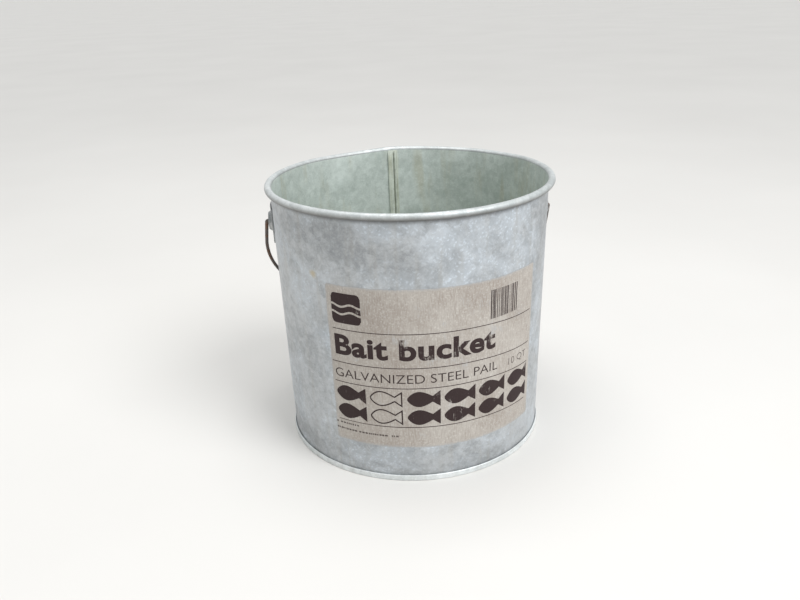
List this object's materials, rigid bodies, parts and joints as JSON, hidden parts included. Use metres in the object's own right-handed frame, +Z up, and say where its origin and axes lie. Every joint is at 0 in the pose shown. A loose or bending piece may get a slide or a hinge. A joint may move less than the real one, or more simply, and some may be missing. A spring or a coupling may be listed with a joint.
{
  "type": "galvanised minnow pail",
  "caption": "Round, slightly tapered sheet-steel bait pail with a wired rim, a seamed foot, a swinging wire bail on riveted ears, and a wrap-round paper label.",
  "frame": {"origin": "centre of the pail's foot, on the floor it stands on", "axes": "+Z up along the pail's axis, +X along the bail's hinge to the right ear, -Y to the front, where the label is, with the wall's lock seam within 2 degrees of +Y"},
  "size_m": [0.2592, 0.2472, 0.232],
  "materials": {
    "galvanised_sheet": "hot-dip zinc, dulled, faint spangle",
    "rim_wire_steel": "zinc-coated wire",
    "pressed_ear_steel": "pressed sheet, dull zinc",
    "rivet_steel": "hammered, dull zinc",
    "bail_wire_steel": "drawn wire, darkened, light rust",
    "label_paper": "thin printed sheet, matt, worn"
  },
  "bodies": {
    "pail": {"side_wall": "galvanised_sheet", "rim_wire": "rim_wire_steel", "bottom_pan": "galvanised_sheet", "left_ear": "pressed_ear_steel", "right_ear": "pressed_ear_steel", "left_ear_rivet_front": "rivet_steel", "left_ear_rivet_back": "rivet_steel", "right_ear_rivet_front": "rivet_steel", "right_ear_rivet_back": "rivet_steel", "label": "label_paper"},
    "handle": {"bail": "bail_wire_steel"}
  },
  "joints": [
    {"name": "bail_swing", "type": "hinge", "parent": "pail", "child": "handle", "pos_m": [0, 0, 0.198], "axis": [1, 0, 0], "range_deg": [0, 276]}
  ]
}
